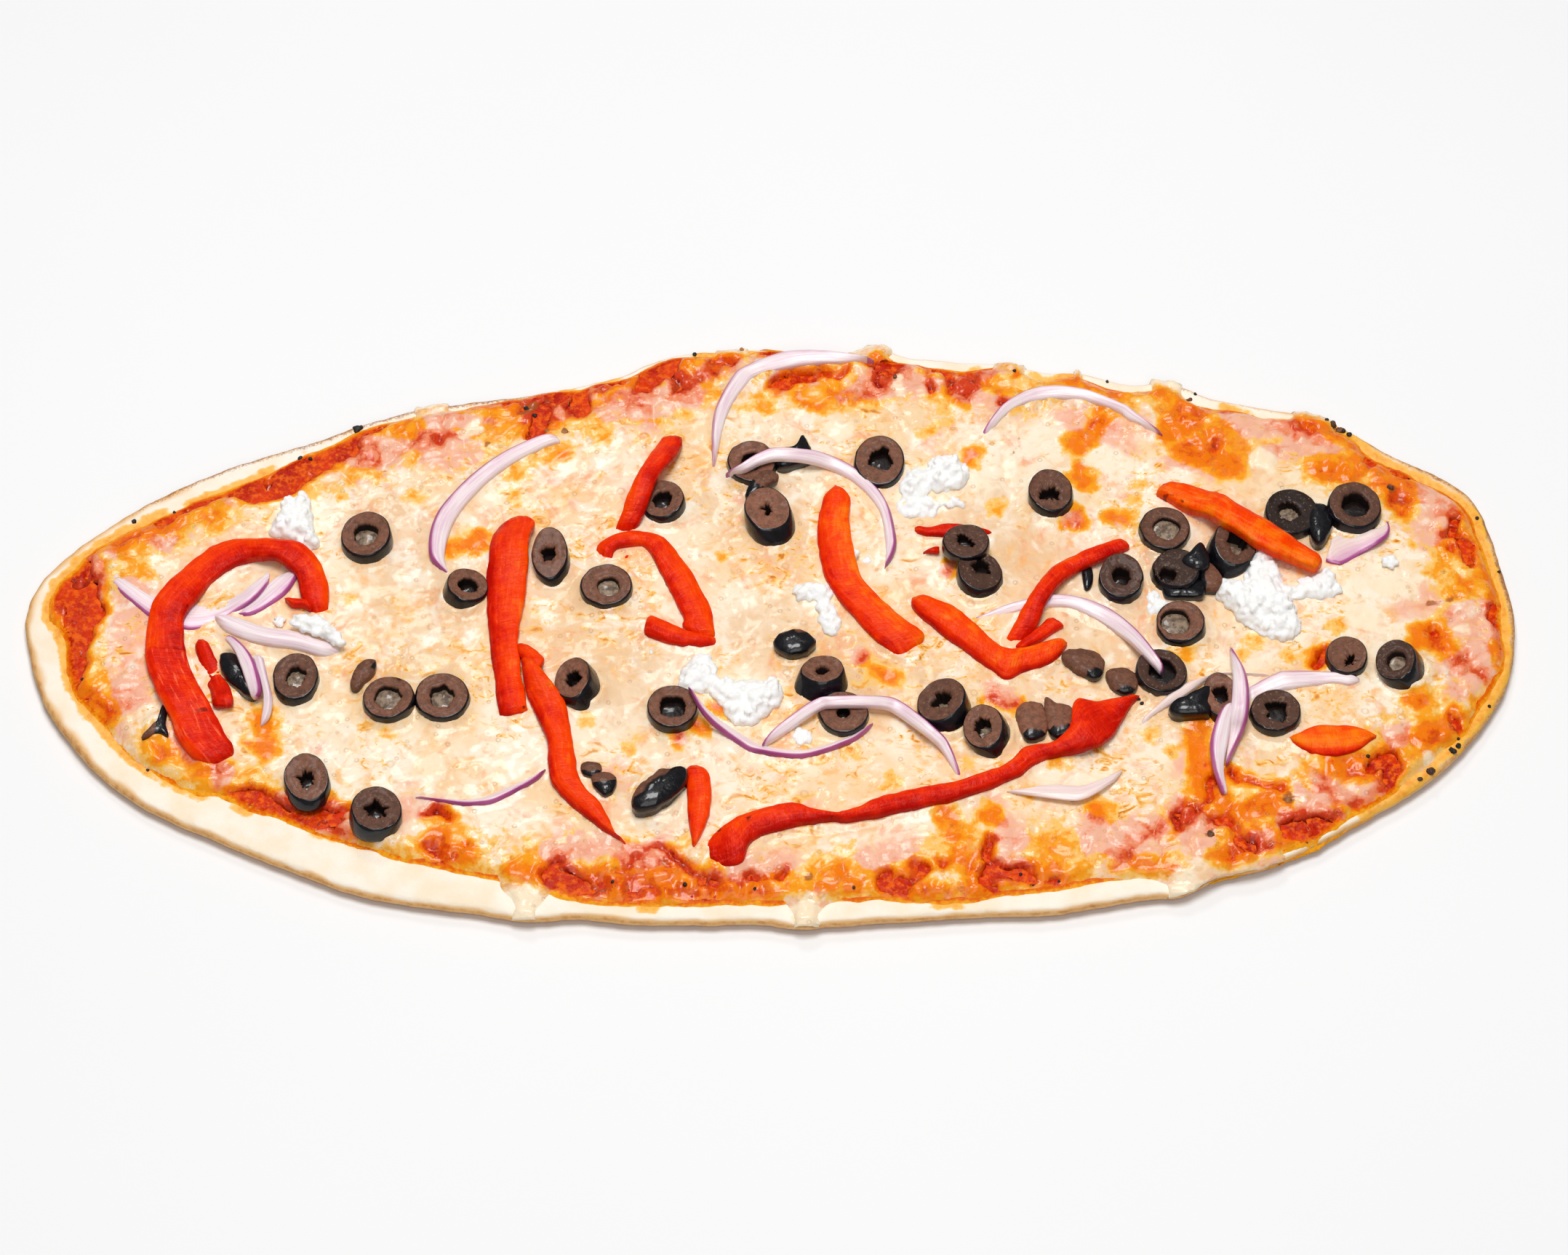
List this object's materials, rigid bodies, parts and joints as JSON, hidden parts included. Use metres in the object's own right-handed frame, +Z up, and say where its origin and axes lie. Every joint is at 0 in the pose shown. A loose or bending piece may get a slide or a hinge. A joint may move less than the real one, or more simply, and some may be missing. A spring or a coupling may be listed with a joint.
{
  "type": "greek pizza",
  "caption": "Long oval flatbread pizza, greek style, with melted cheese, sliced black olives, red pepper strips, red onion and crumbled feta",
  "frame": {"origin": "centre of the box round the pizza in plan, on the flat underside of the dough", "axes": "+X along the long oval to the viewer's right, +Y away from the viewer, +Z up from the underside"},
  "size_m": [0.4088, 0.1951, 0.0171],
  "materials": {
    "dough": "matte",
    "sauce": "glossy",
    "cheese": "glossy",
    "olive": "glossy",
    "pepper": "glossy",
    "onion": "glossy",
    "feta": "matte"
  },
  "bodies": {
    "root": {"dough": "dough", "sauce": "sauce", "cheese": "cheese", "olive_left_far": "olive", "olive_by_pepper": "olive", "olive_long": "olive", "olive_flat_centre": "olive", "olive_behind_strip": "olive", "olives_under_arc": "olive", "olive_ragged": "olive", "olive_slit": "olive", "olives_far_right_group": "olive", "olives_far_right_pair": "olive", "olives_centre_pair": "olive", "olives_centre_low": "olive", "olive_flat_low": "olive", "olive_faces_left": "olive", "olive_black_half": "olive", "olives_left_pair": "olive", "olive_under_tangle": "olive", "olive_black_sliver": "olive", "olive_low_left": "olive", "olive_low_round": "olive", "olive_low_right": "olive", "olive_small_right": "olive", "olive_faces_left_right": "olive", "feta_spires": "feta", "feta_crumbly": "feta", "feta_low": "feta", "feta_great": "feta", "onion_tangle_back": "onion", "onion_tangle_front": "onion", "pepper_loop": "pepper", "feta_on_tangle": "feta", "onion_arc_left": "onion", "pepper_long_left": "pepper", "pepper_tapered": "pepper", "pepper_upright": "pepper", "pepper_curl": "pepper", "onion_arc_high": "onion", "onion_arc_centre": "onion", "pepper_centre": "pepper", "feta_hook": "feta", "pepper_short_high": "pepper", "olives_on_strip": "olive", "onion_arc_right": "onion", "olive_oval_right": "olive", "olive_with_onion_end": "olive", "onion_through_bend": "onion", "pepper_bent_high": "pepper", "pepper_fork": "pepper", "onion_lens_pair": "onion", "pepper_short_low": "pepper", "onion_thin_low": "onion", "olives_right_wedge": "olive", "onion_pale_right": "onion", "onion_crossed_right": "onion", "pepper_orange": "pepper", "pepper_lens": "pepper", "pepper_bulb": "pepper"}
  },
  "joints": []
}
